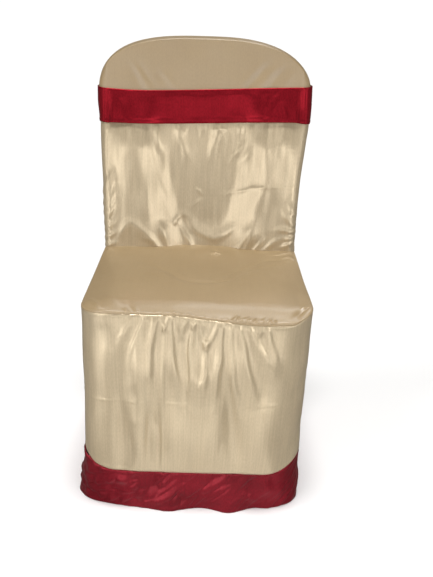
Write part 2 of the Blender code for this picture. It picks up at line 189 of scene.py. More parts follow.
def folds_of(*rows):
    """A table of folds in millimetres. A path is given as across and up of each point in turn."""
    table = []
    for path, start, end, rise, *shares in rows:
        points = np.reshape(path, (-1, 2)) / 1000
        table.append(Fold(points, start / 1000, end / 1000, rise / 1000, *shares))
    return table


# x and z on the inside back.
INSIDE_BACK_FOLDS = folds_of(
    ([-208, 745, -212, 660, -222, 600], 12, 14, 3.4, 0.8, 0.3),
    ([-183, 745, -184, 660, -192, 590], 8, 10, 2.4, 0.8, 0.3),
    ([-162, 745, -164, 630, -160, 510], 12, 22, 3.2, 0.8, 0.3),
    ([-136, 745, -120, 655, -102, 594, -66, 490, -56, 420], 6, 9, 0.9, 0.8, 0.45, 0.7, -0.3),
    ([-120, 745, -90, 648, -68, 585], 7, 12, 3.4, 0.9, 0.3),
    ([-66, 745, -47, 681, -22, 600], 6, 13, 3.4, 0.9, 0.4),
    ([-22, 745, -36, 695, -46, 678], 4, 5, 1.8, 1, 0.4),
    ([-18, 745, -3, 684], 4, 4, 2, 1, 0.5, 0.2),
    ([14, 745, -3, 684], 4, 4, 2, 1, 0.5, 0.2),
    ([47, 745, 33, 672, 8, 600], 6, 13, 3.4, 0.9, 0.4),
    ([18, 692, 38, 700, 62, 697], 4, 4, 1.2),
    ([88, 745, 86, 695, 83, 668], 7, 8, 2.6, 0.9, 0.4),
    ([106, 680, 58, 618], 4, 5, 1.6),
    ([116, 668, 79, 606], 5, 8, 1.8),
    ([120, 745, 113, 640], 7, 10, 2.6, 0.9, 0.4),
    ([155, 745, 143, 656, 122, 566], 8, 14, 3, 0.8, 0.4),
    ([195, 745, 180, 653, 163, 590, 140, 547, 108, 505], 16, 26, 2.6, 0.8, 0.4, 0.3, 0.2),
    ([124, 528, 84, 484, 58, 463, 36, 453, 16, 459, -8, 472, -28, 500, -42, 506, -53, 496],
     14, 7, 3, 0.1, 0.5, 0.3, -0.3),
    ([-53, 497, -62, 476], 5, 6, 2, 0.8, 0.4),
    ([-46, 486, -32, 460, -14, 420], 5, 5, 3.2, 0.2, 0.6, 0.8),
    ([-104, 504, -82, 460, -68, 420], 10, 6, 3.2, 0, 0.6, 0.8),
    ([-198, 420, -175, 474, -158, 488, -133, 468, -107, 447, -82, 420], 10, 9, 3, 0.6, 0.4, 0.5, -0.2),
    ([-150, 456, -118, 450, -92, 428], 6, 5, 1.8, 0, 0.6, 0.6),
    ([137, 520, 112, 470, 86, 420], 12, 5, 4.2, 0, 0.6, 0.8),
    ([132, 484, 116, 452, 100, 420], 6, 5, 2.8, 0, 0.6, 0.8),
    ([157, 470, 122, 424], 5, 5, 2.4, 0, 0.6, 0.8),
    ([202, 470, 171, 450, 141, 424], 6, 6, 3, 0.3, 0.6, 0.8),
    ([214, 479, 170, 487], 5, 6, 3.4, 0.8, 0.3),
    ([211, 494, 182, 538], 5, 8, 3.4, 0.8, 0.3),
    ([214, 516, 198, 556], 5, 6, 3, 0.8, 0.3),
    ([212, 456, 180, 436], 4, 5, 3.2, 0.8, 0.3),
    ([213, 467, 190, 458], 4, 5, 3, 0.8, 0.3),
    ([-221, 554, -194, 618], 5, 7, 3, 0.8, 0.4),
    ([-220, 530, -189, 604], 5, 7, 3.4, 0.8, 0.4),
    ([-219, 508, -188, 578], 5, 7, 3.4, 0.8, 0.4),
    ([-218, 486, -192, 542], 5, 6, 3.4, 0.8, 0.4),
    ([-218, 470, -186, 504], 4, 6, 2.4, 0.8, 0.4),
    ([-218, 453, -182, 474], 4, 5, 2.4, 0.8, 0.4),
    ([-218, 438, -180, 447], 4, 5, 2.2, 0.8, 0.4),
    ([46, 552, 105, 565, 125, 572, 222, 579], 3, 3, 0.9, 0.2, 0.4, 0.3),
    ([-14, 568, 9, 547], 3, 3, 0.7),
    ([12, 547, -28, 516], 3, 4, 0.5),
)

# x and z on the front of the skirt.
SKIRT_FOLDS = folds_of(
    ([-122, 440, -141, 390, -152, 340], 6, 11, 3, 0.3),
    ([-98, 445, -104, 405, -110, 357, -110, 300, -108, 215], 6, 20, 8.5, 0.3, 0.6, 0.3, 0.2),
    ([-99, 445, -113, 399, -125, 357, -128, 300], 3.5, 6, 2.6, 0.6, 0.5, 0, 0.4),
    ([-83, 445, -87, 369, -89, 330, -87, 260], 3.4, 6.5, 5.8, 0.5, 0.6, 0.2, 0.2),
    ([-75, 445, -83, 380, -86, 350], 3, 3.5, 2, 0.8, 0.4),
    ([-69, 445, -61, 412], 3.2, 3.2, 3, 1, 0.5, 0.5),
    ([-49, 445, -60, 412], 3.2, 3.2, 3, 1, 0.5, 0.5),
    ([-60, 416, -61, 332, -62, 256, -61, 100], 3.2, 3.6, 3.4, 0.9, 0.2, 0.4, -0.3),
    ([-48, 445, -44, 361, -36, 315, -22, 250], 4, 13, 8.5, 0.4, 0.6, 0.2, -0.4),
    ([-31, 445, -30, 412, -26, 392], 3.2, 3.4, 2.6, 1, 0.4, 0.3),
    ([-15, 445, -26, 394], 3, 3.2, 2.6, 1, 0.4, 0.3),
    ([-15, 445, -6, 416], 3, 3, 2.4, 1, 0.4, 0.5),
    ([4, 445, -6, 416], 3, 3, 2.4, 1, 0.4, 0.5),
    ([-6, 424, -8, 369, -6, 315, -6, 240], 4, 13, 8.5, 0.4, 0.6, 0.2, 0.4),
    ([6, 445, 11, 403, 21, 380], 3.8, 4.5, 3.6, 1, 0.5, 0.8),
    ([46, 442, 34, 400, 22, 380], 3.8, 4.5, 3.6, 1, 0.5, 0.8),
    ([14, 444, 22, 394], 2.6, 2.6, 2, 1),
    ([32, 444, 24, 394], 2.6, 2.6, 2, 1),
    ([21, 388, 20, 327, 15, 285, 12, 235], 4.2, 13, 8.5, 0.5, 0.6, 0.2),
    ([52, 442, 51, 357, 46, 315, 40, 245], 3.8, 12, 7.8, 0.4, 0.6, 0.2, -0.4),
    ([70, 440, 74, 348, 82, 277, 92, 220], 3.6, 8.5, 6.8, 0.4, 0.6, 0.2),
    ([84, 438, 95, 382, 108, 319, 134, 240], 4.2, 14, 9, 0.4, 0.6, 0.2, -0.4),
    ([102, 436, 119, 386, 140, 352, 166, 300], 4.5, 12, 7, 0.5, 0.5, 0, -0.3),
    ([114, 436, 127, 392], 3.2, 3.2, 2.4, 1, 0.5),
    ([132, 436, 122, 396], 3.2, 3.2, 2.4, 1, 0.5),
    ([136, 436, 148, 386, 157, 355, 170, 300], 4.5, 13, 6.2, 0.5, 0.5, 0, -0.3),
    ([-146, 300, -143, 200, -140, 100], 8, 11, -6, 0, 0.6, 0.2),
    ([-127, 200, -121, 110], 5, 7, -2.2),
    ([-79, 310, -80, 200, -77, 98], 9, 12, -7, 0, 0.6, 0.2),
    ([-91, 256, -91, 94], 6, 8, -2.6, 0, 0.6, 0.4),
    ([-79, 240, -72, 160], 4, 5, -1.8),
    ([-68, 250, -66, 94], 5, 7, -2.8, 0.2, 0.6, 0.6),
    ([60, 330, 74, 230, 84, 150, 88, 94], 13, 16.5, -12, 0, 0.6, 0.25),
    ([57, 172, 51, 122], 4, 4, -1.4),
    ([222, 415, 205, 370, 190, 320], 10, 14, -3.4, 0.3, 0.3),
    ([222, 300, 180, 232], 9, 12, -3, 0.4, 0.3),
    ([220, 190, 188, 110], 9, 10, -2.8, 0.4, 0.4, 0.3),
    ([-214, 430, -190, 330], 10, 16, -3.4, 0.4),
    ([-196, 430, -168, 350], 8, 16, -2.2, 0.4),
)

# x, and distance from the front seam along the cloth, on the seat.
SEAT_FOLDS = folds_of(
    ([196, 352, 140, 336, 91, 265, 55, 215, 20, 192, -14, 190], 8, 12, -3.6, 0.3, 0.5),
    ([172, 310, 107, 263, 62, 188, 20, 166, -22, 170, -66, 230, -134, 310, -176, 330],
     8, 12, -4, 0.2, 0.5),
    ([150, 290, 100, 232, 50, 150, 0, 135], 10, 14, 2.4),
    ([-163, 184, -130, 146, -90, 128], 8, 12, -1.4),
    ([-120, 220, -80, 180, -40, 150], 10, 14, -1.2),
    ([-204, 125, -172, 68, -144, -4], 18, 14, 3.2, 0, 0.6, 0.5),
    ([-170, 100, -138, 45, -116, -4], 14, 10, -2, 0, 0.6, 0.4),
    ([-142, 20, -131, -2], 3, 3, 2.8, 0, 0.6, 0.8),
    ([-128, 30, -111, -2], 3, 3, 3.2, 0, 0.6, 0.8),
    ([-207, 50, -188, 18, -156, 0], 6, 4, 3.6, 0.4, 0.5, 0.4),
    ([24, 388, 40, 384, 57, 386], 5, 6, 3.6),
    ([148, 386, 180, 384, 210, 386], 5, 4, 3.2, 0, 0.6, 0.8),
    ([182, 358, 202, 362, 214, 346], 4, 4, 3, 0, 0.5, 0.6),
    ([-216, 370, -188, 384], 4, 5, 2.8, 0.8, 0.3),
    ([218, 44, 200, 30, 188, 12], 5, 8, -4.4, 0.4, 0.4),
    ([220, 50, 204, 46], 3, 3, 3, 0.6, 0.4),
    ([138, 6, 165, 6, 205, 8], 4, 5, 2.6, 0.4, 0.5, 0.6),
)

# The close ruches over the right of the seat's front seam, in millimetres: x where each starts at
# the seam, how far each runs to the right, how long and how high it is.
RUCHES = (70, 80, 90, 100, 111, 121, 131, 142)
RUCHE_LEAN = 18
RUCHE_LENGTH = 22
RUCHE_RISE = 5.8
# Short puckers along the rest of that seam: x of each, and how far up the seat it reaches.
PUCKERS = ((-104, 10), (-90, 7), (-74, 12), (-60, 8), (-43, 10), (-31, 7), (-14, 11), (-3, 8), (12, 12),
           (23, 8), (36, 13), (48, 9), (60, 12))
PUCKER_SHARE = 0.35     # their rise as a share of a ruche's

# x and z on the front of the crown.
CROWN_FOLDS = folds_of(
    ([-159, 856, -130, 812, -100, 778], 5, 8, -1.6, 0, 0.5, 0.6),
    ([-177, 850, -134, 778], 7, 9, -1.6, 0, 0.5, 0.6),
    ([-167, 848, -118, 778], 6, 9, 1.6, 0, 0.5, 0.6),
    ([-110, 830, -76, 778], 6, 9, -1.4, 0, 0.5, 0.6),
    ([-95, 826, -58, 778], 7, 10, 1.2, 0, 0.5, 0.6),
    ([166, 864, 130, 824, 90, 780], 6, 9, -1.6, 0, 0.5, 0.6),
    ([148, 866, 72, 780], 8, 11, 1.2, 0, 0.5, 0.6),
    ([198, 856, 139, 780], 6, 9, -1.6, 0, 0.5, 0.6),
    ([185, 858, 114, 780], 7, 9, 1.6, 0, 0.5, 0.6),
    ([210, 842, 174, 780], 6, 9, 1.2, 0, 0.5, 0.6),
)

# x and z on the front of the sash.
SASH_FOLDS = folds_of(
    ([-180, 800, -166, 756, -134, 700], 16, 26, 3.4, 0.6, 0.5, 0.7, -0.2),
    ([-206, 790, -168, 700], 14, 16, -2.6, 0.3, 0.6, 0.8),
    ([-196, 770, -186, 720], 5, 6, 1, 0.2, 0.6, 0.3),
    ([-104, 800, -80, 745, -62, 700], 22, 26, 2.2, 0.6, 0.5, 0.8),
    ([-22, 800, -10, 752, -20, 700], 24, 28, 1.8, 0.6, 0.5, 0.6),
    ([70, 802, 52, 702], 22, 26, 2, 0.6, 0.5, 0.8),
    ([158, 804, 136, 756, 112, 706], 16, 22, 3.4, 0.6, 0.5, 0.8),
    ([184, 806, 158, 740], 10, 12, -1.8, 0.5, 0.5, 0.3),
    ([172, 770, 196, 712], 5, 6, 1.8, 0, 0.6, 0.8),
    ([160, 752, 174, 712], 5, 6, 1.6, 0, 0.6, 0.8),
)
SASH_PROUD = 0.0085     # towards its ends the band's lower edge stands this far out, over the swells
SASH_SLACK = 0.2        # and in its middle its folds are this much higher
SASH_SINK = 0.0004      # no fold lies deeper than this
SASH_SEAMS = (-0.2225, 0.2320)   # x of the stitched seam near each end of its front
SASH_STITCH = 0.0006    # depth of that seam
SASH_LIP = 0.0007       # the roll of its lower edge stands out this much

# x and z on the front of the hem band, which is creased all over.
HEM_FOLDS = folds_of(
    ([-222, 116, -208, 56, -197, 40], 6, 8, 4, 0.6, 0.4),
    ([-226, 74, -214, 20], 5, 6, 3.4),
    ([-95, 88, -122, 48, -154, 14], 7, 11, 4.6, 0.6, 0.5),
    ([-110, 88, -143, 24], 6, 7, -3, 0.4, 0.4),
    ([-172, 78, -130, 62, -106, 74], 8, 7, 3.2),
    ([-184, 60, -148, 26], 9, 10, -3.8),
    ([-78, 84, -82, 24], 11, 12, -4.4, 0.4, 0.4),
    ([-100, 6, -52, 30, -28, 52], 7, 8, 3.8),
    ([-60, 90, -52, 38], 5, 7, 3, 0.8, 0.3),
    ([-41, 90, -47, 46], 4, 6, -2.6, 0.8, 0.3),
    ([-28, 90, -26, 48], 4, 6, 2.6, 0.8, 0.3),
    ([-16, 90, -20, 52], 4, 6, -2.4, 0.8, 0.3),
    ([-36, 44, -6, 6], 7, 8, -4),
    ([-4, 82, -10, 40, 18, 32], 6, 7, 3, 0.5, 0.5),
    ([4, 68, 44, 58], 6, 6, -2.4),
    ([20, 90, 30, 30, 20, 0], 6, 9, 3.2, 0.7, 0.5, 0.5),
    ([46, 90, 40, 48], 5, 6, -2.8, 0.8, 0.3),
    ([70, 90, 64, 50, 72, 8], 5, 7, 3.2, 0.8, 0.4),
    ([84, 90, 90, 54], 5, 6, 2.6, 0.8, 0.3),
    ([116, 88, 122, 56, 102, 24], 6, 7, -3.6, 0.7, 0.4),
    ([96, 50, 126, 26, 154, 16], 7, 7, 3.4),
    ([140, 80, 154, 48, 146, 16], 8, 8, 3.8),
    ([166, 92, 172, 44], 7, 8, -3, 0.7, 0.4),
    ([190, 66, 176, 14], 7, 8, 3),
)

# The plan is walked in eight stretches: corners, sides, front and rear. TURN is once round.
REAR_LEFT, LEFT, FRONT_LEFT, FRONT, FRONT_RIGHT, RIGHT, REAR_RIGHT, REAR = range(8)
TURN = 8
SEAM_STEP = 0.012       # part of a rear corner that the space of a seam takes


def ease(value):
    """0 to 1 with a level start and end."""
    value = np.clip(value, 0.0, 1.0)
    return value * value * (3.0 - 2.0 * value)


def fade(value, start, end):
    """0 up to start and 1 from end on, level at both."""
    return ease((value - start) / (end - start))


def within(value, start, end, margin):
    """1 well between start and end, fading to 0 at both over the margin."""
    return ease(np.minimum(value - start, end - value) / margin)


def between(start, end, share):
    """The value that lies this share of the way from start to end."""
    return start + (end - start) * share


def at_least(least, share):
    """A share of 0 to 1 that is lifted to run from least to 1."""
    return between(least, 1.0, share)


def bump(distance, width):
    """1 at no distance, dying away smoothly by about twice the width."""
    return np.exp(-(distance / width) ** 2)


def roll(value):
    """A quarter circle: 0 at 0, rising steeply, level from 1 on."""
    return np.sqrt(1.0 - (1.0 - np.clip(value, 0.0, 1.0)) ** 2)


def plump(distance, edge, spread_out, share):
    """Padding's rise from its seam: a rolled edge makes the given share of it, a slow swell the rest."""
    slow = 1.0 - (1.0 - np.clip(distance / spread_out, 0.0, 1.0)) ** 2
    return between(slow, roll(distance / edge), share)


def read(table, column, at):
    """A table's column at values of its first one, by a smooth curve that never overshoots."""
    keys = np.array([row[0] for row in table])
    values = np.array([getattr(row, column) for row in table])
    spans = np.diff(keys)
    slopes = np.diff(values) / spans
    before = np.concatenate([slopes[:1], slopes])
    after = np.concatenate([slopes, slopes[-1:]])
    same_way = before * after > 0.0
    tangents = np.where(same_way, 2.0 * before * after / np.where(same_way, before + after, 1.0), 0.0)
    at = np.clip(at, keys[0], keys[-1])
    i = np.clip(np.searchsorted(keys, at, side="right") - 1, 0, len(spans) - 1)
    t = (at - keys[i]) / spans[i]
    rise, first, last = values[i + 1] - values[i], spans[i] * tangents[i], spans[i] * tangents[i + 1]
    return values[i] + t * (first + t * (3.0 * rise - 2.0 * first - last + t * (first + last - 2.0 * rise)))


def plan_at(plans, height):
    """The plan between two rows of a table."""
    columns = [read(plans, name, height) for name in Plan._fields[1:]]
    return Plan(height, *columns)


def corner(middle_x, middle_y, radius, degrees):
    """x, y and outward direction on a corner's arc. 0 degrees is to the right, 90 the rear."""
    out_x, out_y = np.cos(np.radians(degrees)), np.sin(np.radians(degrees))
    return middle_x + radius * out_x, middle_y + radius * out_y, out_x, out_y


def side(start, end, part, out):
    """x, y and outward direction part of the way along a straight side."""
    return between(start[0], end[0], part), between(start[1], end[1], part), out, 0.0


def walk(plan, position):
    """x, y and outward direction at positions on the plan, which is walked left, front, right, rear."""
    position = np.mod(position, TURN)
    stretch = np.floor(position)
    part = position - stretch
    left, right = plan.shift - plan.half_front, plan.shift + plan.half_front
    rear_left, rear_right = plan.shift - plan.half_rear, plan.shift + plan.half_rear
    front_y = plan.front - plan.hug + plan.round_front
    rear_y = plan.rear - plan.round_rear
    inner = plan.half_front - plan.round_front
    inner_rear = plan.half_rear - plan.round_rear
    across = 2.0 * part - 1.0
    front_bend = plan.hug * (1.0 - across ** 2)
    places = [
        corner(rear_left + plan.round_rear, rear_y, plan.round_rear, 90 + 90 * part),
        side((rear_left, rear_y), (left, front_y), part, -1.0),
        corner(left + plan.round_front, front_y, plan.round_front, 180 + 90 * part),
        (plan.shift + inner * across, plan.front - plan.hug + front_bend, 0.0, -1.0),
        corner(right - plan.round_front, front_y, plan.round_front, 270 + 90 * part),
        side((right, front_y), (rear_right, rear_y), part, 1.0),
        corner(rear_right - plan.round_rear, rear_y, plan.round_rear, 90 * part),
        (plan.shift - inner_rear * across, plan.rear, 0.0, 1.0),
    ]
    here = [stretch == k for k in range(TURN)]
    return [np.select(here, [value + 0.0 * part for value in column]) for column in zip(*places)]


def skirt_seam(table, rear_height, fade_length, position):
    """Height of a seam that follows its table along the front and is level at the rear."""
    x, y, _, _ = walk(plan_at(SKIRT_PLANS, rear_height), position)
    front_height = read(table, "height", x)
    return between(front_height, rear_height, ease((y - SEAMS_TURN) / fade_length))


def seat_seam(position):
    """Height of the seam on top of the skirt."""
    return skirt_seam(SEAT_SEAM_FRONT, SEAT_SEAM, 0.20, position)


def hem_seam(position):
    """Height of the seam on top of the hem band."""
    return skirt_seam(HEM_SEAM_FRONT, HEM_SEAM_REAR, 0.30, position)


def sways_out(sways, at, down):
    """How far a set of broad folds moves the cloth outward. down is 0 at the top edge, 1 at the foot."""
    return sum(sway.depth * bump(at - between(sway.at_top, sway.at_foot, down), sway.width)
               for sway in sways)


def waves_out(waves, at):
    """How far a set of waves moves the cloth outward."""
    return sum(wave.out * bump(at - wave.across, wave.width) for wave in waves)


def run_up(steps):
    """Distances from the start, after each step."""
    return np.concatenate([0.0 * steps[:1], np.cumsum(steps, axis=0)])


def smooth_path(points, pieces=6):
    """Points on a smooth curve through the given ones."""
    ends = np.concatenate([2.0 * points[:1] - points[1:2], points, 2.0 * points[-1:] - points[-2:-1]])
    steps = np.arange(pieces)[:, None] / pieces
    line = []
    for a, b, c, d in zip(ends, ends[1:], ends[2:], ends[3:]):
        line.append(0.5 * (2.0 * b + (c - a) * steps + (2.0 * a - 5.0 * b + 4.0 * c - d) * steps ** 2
                           + (3.0 * b - a - 3.0 * c + d) * steps ** 3))
    return np.concatenate(line + [points[-1:]])


def fold_height(fold, across, up):
    """Height of one fold at points of its piece: a round ridge on a wider, lower foot."""
    line = smooth_path(fold.path)
    lengths = run_up(np.linalg.norm(np.diff(line, axis=0), axis=1))
    reach = 6.0 * max(fold.start, fold.end)
    near = ((across > line[:, 0].min() - reach) & (across < line[:, 0].max() + reach)
            & (up > line[:, 1].min() - reach) & (up < line[:, 1].max() + reach))
    spots = np.stack([across[near], up[near]], axis=1)
    starts, runs = line[:-1, None], np.diff(line, axis=0)[:, None]
    parts = np.clip(np.sum((spots - starts) * runs, axis=2) / np.sum(runs ** 2, axis=2), 0.0, 1.0)
    gaps = spots - starts - parts[..., None] * runs
    away = np.hypot(gaps[..., 0], gaps[..., 1])
    sides = np.sign(runs[..., 0] * gaps[..., 1] - runs[..., 1] * gaps[..., 0])
    lengths = between(lengths[:-1, None], lengths[1:, None], parts) / lengths[-1]
    closest = away.argmin(axis=0), np.arange(len(spots))
    nearest, along, flank = away[closest], lengths[closest], sides[closest]
    width = between(fold.start, fold.end, along) * (1.0 + fold.lean * flank)
    swell = (at_least(fold.first, ease(along / fold.peak))
             * at_least(fold.last, ease((1.0 - along) / (1.0 - fold.peak))))
    height = np.zeros(across.shape)
    profile = between(bump(nearest, FOOT_SPREAD * width), bump(nearest, width), RIDGE_SHARE)
    height[near] = fold.rise * swell * profile
    return height


def spots_of(across, up, size, seed):
    """Where points of a piece lie in a noise whose cells are about size wide."""
    return [Vector((a, b, seed)) for a, b in zip((across / size).ravel(), (up / size).ravel())]


def unevenness(across, up, size, amount, seed):
    """A slow, uneven swell of the cloth, with hollows about size apart."""
    swell = [noise.noise(spot) for spot in spots_of(across, up, size, seed)]
    return amount * np.array(swell).reshape(across.shape)


def crumple(across, up, size, amount, seed):
    """Sharp-edged creases between flat facets, about size apart."""
    facets = [noise.voronoi(spot)[0] for spot in spots_of(across, up, size, seed)]
    edges = np.array([gaps[1] - gaps[0] for gaps in facets]).reshape(across.shape)
    return amount * (np.minimum(edges, 0.6) - 0.3)


def folds_height(folds, across, up, seed=0.0):
    """Height of a whole table of folds, each a little crooked and uneven."""
    crooked_across = across + unevenness(across, up, size=0.050, amount=0.0030, seed=71.0 + seed)
    crooked_up = up + unevenness(across, up, size=0.050, amount=0.0030, seed=73.0 + seed)
    total = sum(fold_height(fold, crooked_across, crooked_up) for fold in folds)
    return total * (1.0 + unevenness(across, up, size=0.060, amount=0.4, seed=75.0 + seed))


def back_swells(x, z):
    """The inside back's two swells. Each has a wide, even outer flank and a narrow inner one."""
    down = (SWELL_HIGH - z) / (SWELL_HIGH - SWELL_LOW)
    total = 0.0
    for swell in BACK_SWELLS:
        ridge = between(swell.at_sash, swell.at_seat, down)
        outer = (x - swell.foot) / (ridge - swell.foot)
        inner = 1.0 + (ridge - x) / np.copysign(SWELL_TURN, ridge - swell.foot)
        lower = 0.5 * (outer + inner - np.sqrt((outer - inner) ** 2 + RIDGE_ROUND))
        total = total + 0.5 * (lower + np.sqrt(lower ** 2 + FOOT_ROUND))
    return SWELL_RISE * total


def seam_dip(distance, depth=0.0016, width=0.0022):
    """The cloth turns in at a seam, with a slight lip beside it."""
    return depth * (0.45 * bump(distance - 2.2 * width, width) - bump(distance, width))


def back_surface(position, height, extra=0.0):
    """The surface round the back of the chair, in the maker's measures."""
    x, y, out_x, out_y = walk(plan_at(BACK_PLANS, height), position)
    down = (CAP_EDGE - height) / (CAP_EDGE - CREASE)
    on_rear = np.floor(np.mod(position, TURN)) == REAR
    away = extra + on_rear * 0.6 * sways_out(REAR_SWAYS, x, 0.0) * fade(down, 0.1, 0.6)
    return np.stack([x + away * out_x, y + away * out_y, height + 0.0 * x], axis=-1)


def skirt_surface(position, height):
    """The skirt, hem band and lower rear panel, in the maker's measures, without their small folds."""
    plan = plan_at(SKIRT_PLANS, height)
    x, y, out_x, out_y = walk(plan, position)
    top = seat_seam(position)
    down = np.clip((top - height) / top, 0.0, 1.0)
    at_front = 1.0 - ease((y - 0.5 * plan.round_front) / FRONT_TURN)
    at_rear = ease((y - plan.rear + plan.round_rear + REAR_TURN) / REAR_TURN)
    hem = waves_out(HEM_WAVES, x) * ease(1.0 - height / HEM_SWING)
    sides = sways_out(SIDE_SWAYS, y, down) * ease(down / 0.5)
    rear = sways_out(REAR_SWAYS, x, down) * at_least(0.6, down)
    swell = waves_out(SKIRT_SWELLS, x) * fade(height, 0.28, 0.16) * fade(height, 0.09, 0.16)
    away = at_front * (hem + swell) + at_rear * rear + (1.0 - at_front - at_rear) * sides
    return np.stack([x + away * out_x, y + away * out_y, height + 0.0 * x], axis=-1)


def front_share(points):
    """1 on the front of the skirt, fading to 0 round its corners."""
    return 1.0 - ease((points[..., 1] - FRONT_END) / FRONT_TURN)


def spread(*stretches):
    """Values along a grid's side. A stretch is its start and its count of steps; the last one ends it."""
    values = []
    for (start, count), (end, _) in zip(stretches, stretches[1:]):
        values.append(start + (end - start) * np.arange(count) / count)
    return np.concatenate(values + [[stretches[-1][0]]])


def crowding(count):
    """Values from 0 to 1 that start out close together, for an edge where the cloth rolls over."""
    return 1.0 - np.cos(0.5 * np.pi * np.arange(count + 1) / count)


def crowded(count, width, edge_count):
    """Values -1 to 1 that crowd together in a band at each end."""
    plain = (1.0 - width) * np.arange(count // 2) / (count // 2)
    half = np.concatenate([plain, 1.0 - width * crowding(edge_count)[::-1]])
    return np.concatenate([-half[:0:-1], half])


def outward(points, closed=False):
    """Unit directions that look out of the sheet at each point of its grid."""
    along = np.gradient(points, axis=1)
    if closed:
        along[:, 0] = along[:, -1] = points[:, 1] - points[:, -2]
    up = np.gradient(points, axis=0)
    out = np.cross(along, up)
    return out / np.linalg.norm(out, axis=2, keepdims=True)


def lifted(points, height, closed=False, face=1.0):
    """The sheet with its folds raised along its own outward direction."""
    return points + (face * height)[..., None] * outward(points, closed)


def laid_flat(points):
    """Where each point lies on the piece as it was cut: across and up, in metres."""
    across = run_up(np.linalg.norm(np.diff(points, axis=1), axis=2).mean(axis=0))
    up = run_up(np.linalg.norm(np.diff(points, axis=0), axis=2).mean(axis=1))
    return np.stack(np.broadcast_arrays(across[None, :], up[:, None]), axis=-1)


def add_sheet(bm, points, flat):
    """Add a grid of cloth to bm, placed by points, with the cut piece's measures as its UV map."""
    rows, columns = points.shape[:2]
    made = bmesh.ops.create_grid(bm, x_segments=columns - 1, y_segments=rows - 1, size=1.0)
    layer = bm.loops.layers.uv.get("cut_cloth") or bm.loops.layers.uv.new("cut_cloth")
    places = points - np.array([CENTRE_X, CENTRE_Y, 0.0])
    spots = {}
    for vertex in made["verts"]:
        spot = (round((vertex.co.y + 1.0) / 2.0 * (rows - 1)),
                round((vertex.co.x + 1.0) / 2.0 * (columns - 1)))
        spots[vertex] = flat[spot]
        vertex.co = places[spot]
    faces = {face for vertex in made["verts"] for face in vertex.link_faces}
    for face in faces:
        face.smooth = True
        for loop in face.loops:
            loop[layer].uv = spots[loop.vert]


def raised_sheet(points, height, closed=False):
    """A piece of one sheet, with its folds raised."""
    bm = bmesh.new()
    add_sheet(bm, lifted(points, height, closed), laid_flat(points))
    return bm


def placed(name, data):
    """A new object in the scene."""
    made = bpy.data.objects.new(name, data)
    bpy.context.scene.collection.objects.link(made)
    return made


def mesh_piece(name, bm, material):
    """Turn bm into an object of one material."""
    mesh = bpy.data.meshes.new(name)
    bm.to_mesh(mesh)
    bm.free()
    mesh.materials.append(material)
    return placed(name, mesh)


def finish_sheet(name, bm, material, solid, slot, **cut):
    """Turn the sheet in bm into a finished piece that stands for its solid."""
    bmesh.ops.remove_doubles(bm, verts=bm.verts, dist=0.00002)
    bmesh.ops.recalc_face_normals(bm, faces=bm.faces)
    piece = mesh_piece(name, bm, material)
    thickness = piece.modifiers.new("cloth", "SOLIDIFY")
    thickness.thickness = CLOTH
    thickness.offset = 0.0
    thickness.use_rim = True
    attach(piece, "root")
    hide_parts(solid)


def adjust(shader, **values):
    """Set a shader node's inputs, named with underscores for spaces, or its properties.

    A value that is another node's output is linked to the input.
    """
    for name, value in values.items():
        label = name.replace("_", " ")
        if isinstance(value, bpy.types.NodeSocket):
            shader.id_data.links.new(value, shader.inputs[label])
        elif label in shader.inputs:
            shader.inputs[label].default_value = value
        else:
            setattr(shader, name, value)


def new_surface(name):
    """A new material and its shader."""
    material = bpy.data.materials.new(name)
    material.use_nodes = True
    return material, material.node_tree.nodes["Principled BSDF"]


Finish = namedtuple("Finish", "colour shade roughness metallic shine stretch grain weave streak")
GLOSS_SHARE = 0.08      # how much of its grain a finish shows in its gloss


def cloth_finish(name, finish):
    """A woven finish: colour drifts to shade, with grain in its gloss and a fine weave in relief.

    stretch is how far the long threads draw the gloss out across the cloth, and streak how much the
    lengthwise threads differ from one another.
    """
    material, surface = new_surface(name)

    def node(kind, output, **values):
        made = material.node_tree.nodes.new("ShaderNode" + kind)
        adjust(made, **values)
        return made.outputs[output]

    def threads(across, up, detail):
        """Threads that are so many to a metre across the cloth and up it."""
        cells = node("Mapping", "Vector", Vector=cut_cloth, Scale=(across, up, 1.0))
        return node("TexNoise", "Fac", Vector=cells, Scale=1.0, Detail=detail)

    cut_cloth = node("UVMap", "UV", uv_map="cut_cloth")
    close_threads = threads(460.0, 170.0, 0.0)
    long_threads = threads(300.0, 9.0, 1.0)
    drift = node("TexNoise", "Fac", Vector=cut_cloth, Scale=9.0, Detail=3.0, Roughness=0.55)
    drift = node("MapRange", "Result", Value=drift, From_Min=0.30, From_Max=0.70)
    tone = node("Mix", "Result", data_type="RGBA", Factor=drift,
                A=(*finish.shade, 1.0), B=(*finish.colour, 1.0))
    for pattern, low, high, depth in ((close_threads, 0.38, 0.62, finish.grain),
                                      (long_threads, 0.35, 0.65, finish.streak)):
        light = node("MapRange", "Result", Value=pattern, From_Min=low, From_Max=high,
                     To_Min=1.0 - depth, To_Max=1.0)
        tone = node("Mix", "Result", data_type="RGBA", blend_type="MULTIPLY", Factor=1.0, A=tone, B=light)
    gloss_step = GLOSS_SHARE * finish.grain
    gloss = node("MapRange", "Result", Value=close_threads, From_Min=0.38, From_Max=0.62,
                 To_Min=finish.roughness - gloss_step, To_Max=finish.roughness + gloss_step)
    relief = node("Bump", "Normal", Strength=finish.weave, Distance=0.0006, Height=close_threads)
    thread_run = node("Tangent", "Tangent", direction_type="UV_MAP", uv_map="cut_cloth")
    sheen = (*[0.5 + 0.5 * part for part in finish.colour], 1.0)
    adjust(surface, Base_Color=tone, Roughness=gloss, Metallic=finish.metallic, IOR=1.8,
           Specular_IOR_Level=finish.shine, Anisotropic=finish.stretch, Tangent=thread_run, Normal=relief,
           Sheen_Weight=0.05, Sheen_Roughness=0.45, Sheen_Tint=sheen)
    return material


